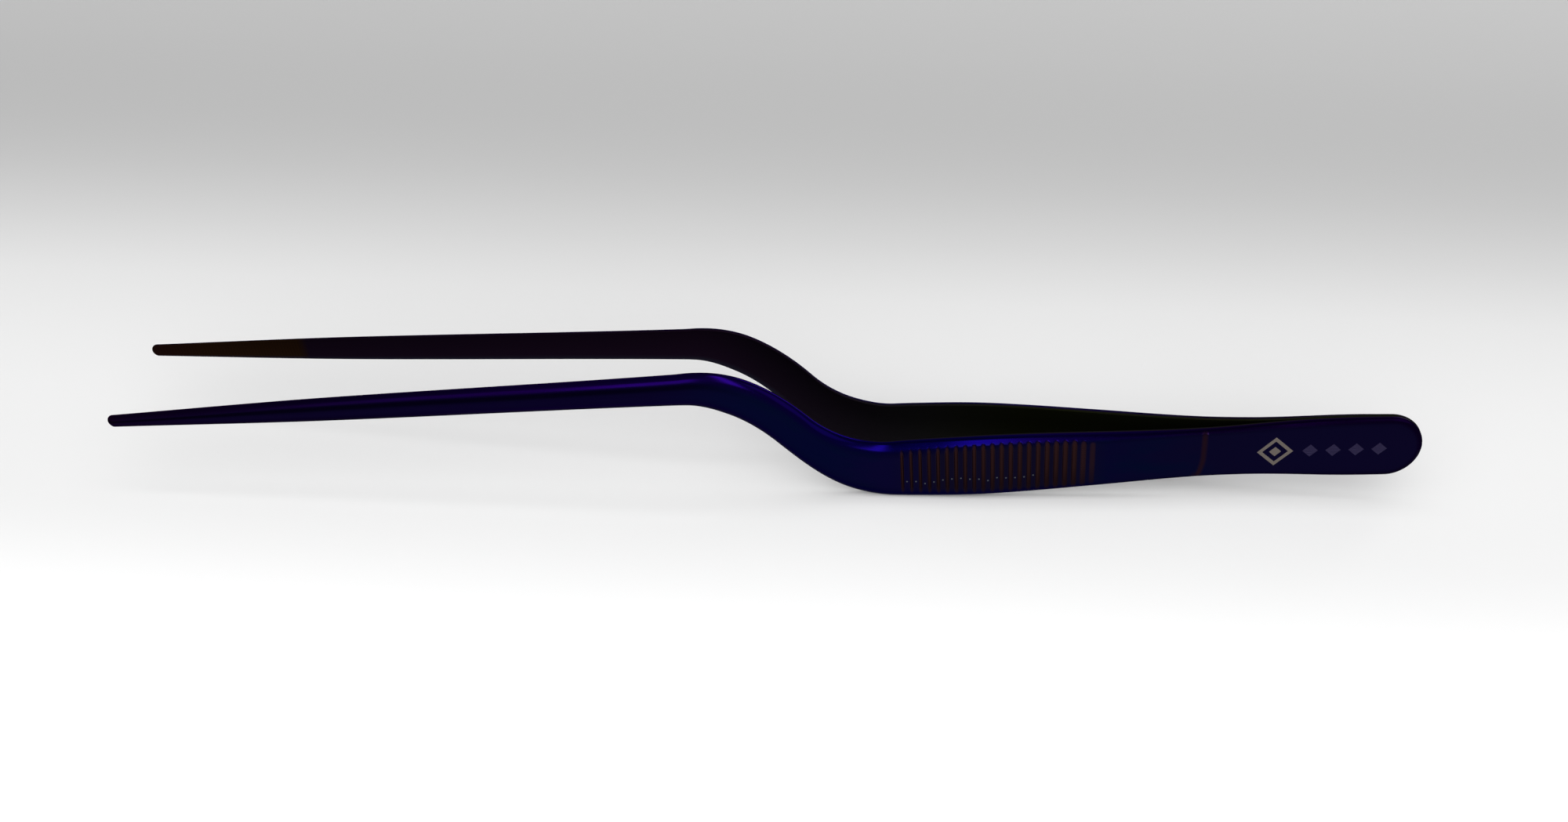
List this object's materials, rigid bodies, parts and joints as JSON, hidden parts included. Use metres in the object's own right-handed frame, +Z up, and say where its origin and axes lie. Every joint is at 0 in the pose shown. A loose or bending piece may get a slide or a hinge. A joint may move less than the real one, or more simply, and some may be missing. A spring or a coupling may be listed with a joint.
{
  "type": "bayonet tweezers",
  "caption": "Long bayonet tweezers: mirrored spring-steel arms joined at the butt, an offset bend ahead of ribbed grips, and slender tapering tips with fine inner cross grooves.",
  "frame": {"origin": "centre of the bounding box, on the surface that the grips' lower edges stand on", "axes": "+X to the butt and -X to the tips, +Z up across the width of the arms, Y across the opening, with the far arm at +Y"},
  "size_m": [0.2, 0.0202, 0.0223],
  "materials": {
    "coated_steel": "polished stainless steel with a thin blue-violet interference coat, copper-brown in the grooves"
  },
  "bodies": {
    "butt": {"near_butt": "coated_steel", "far_butt": "coated_steel"},
    "near_arm": {"near_arm": "coated_steel"},
    "far_arm": {"far_arm": "coated_steel"}
  },
  "joints": [
    {"name": "near_flex", "type": "hinge", "parent": "butt", "child": "near_arm", "pos_m": [0.0675, -0.00162, 0.0083], "axis": [0, 0, -1], "range_deg": [0, 3.11], "stiffness_Nm_per_rad": 4},
    {"name": "far_flex", "type": "hinge", "parent": "butt", "child": "far_arm", "pos_m": [0.0675, 0.00162, 0.0083], "axis": [0, 0, 1], "range_deg": [0, 3.11], "stiffness_Nm_per_rad": 4}
  ],
  "couplings": [
    {"joint": "far_flex", "follows": "near_flex", "ratio": 1}
  ]
}
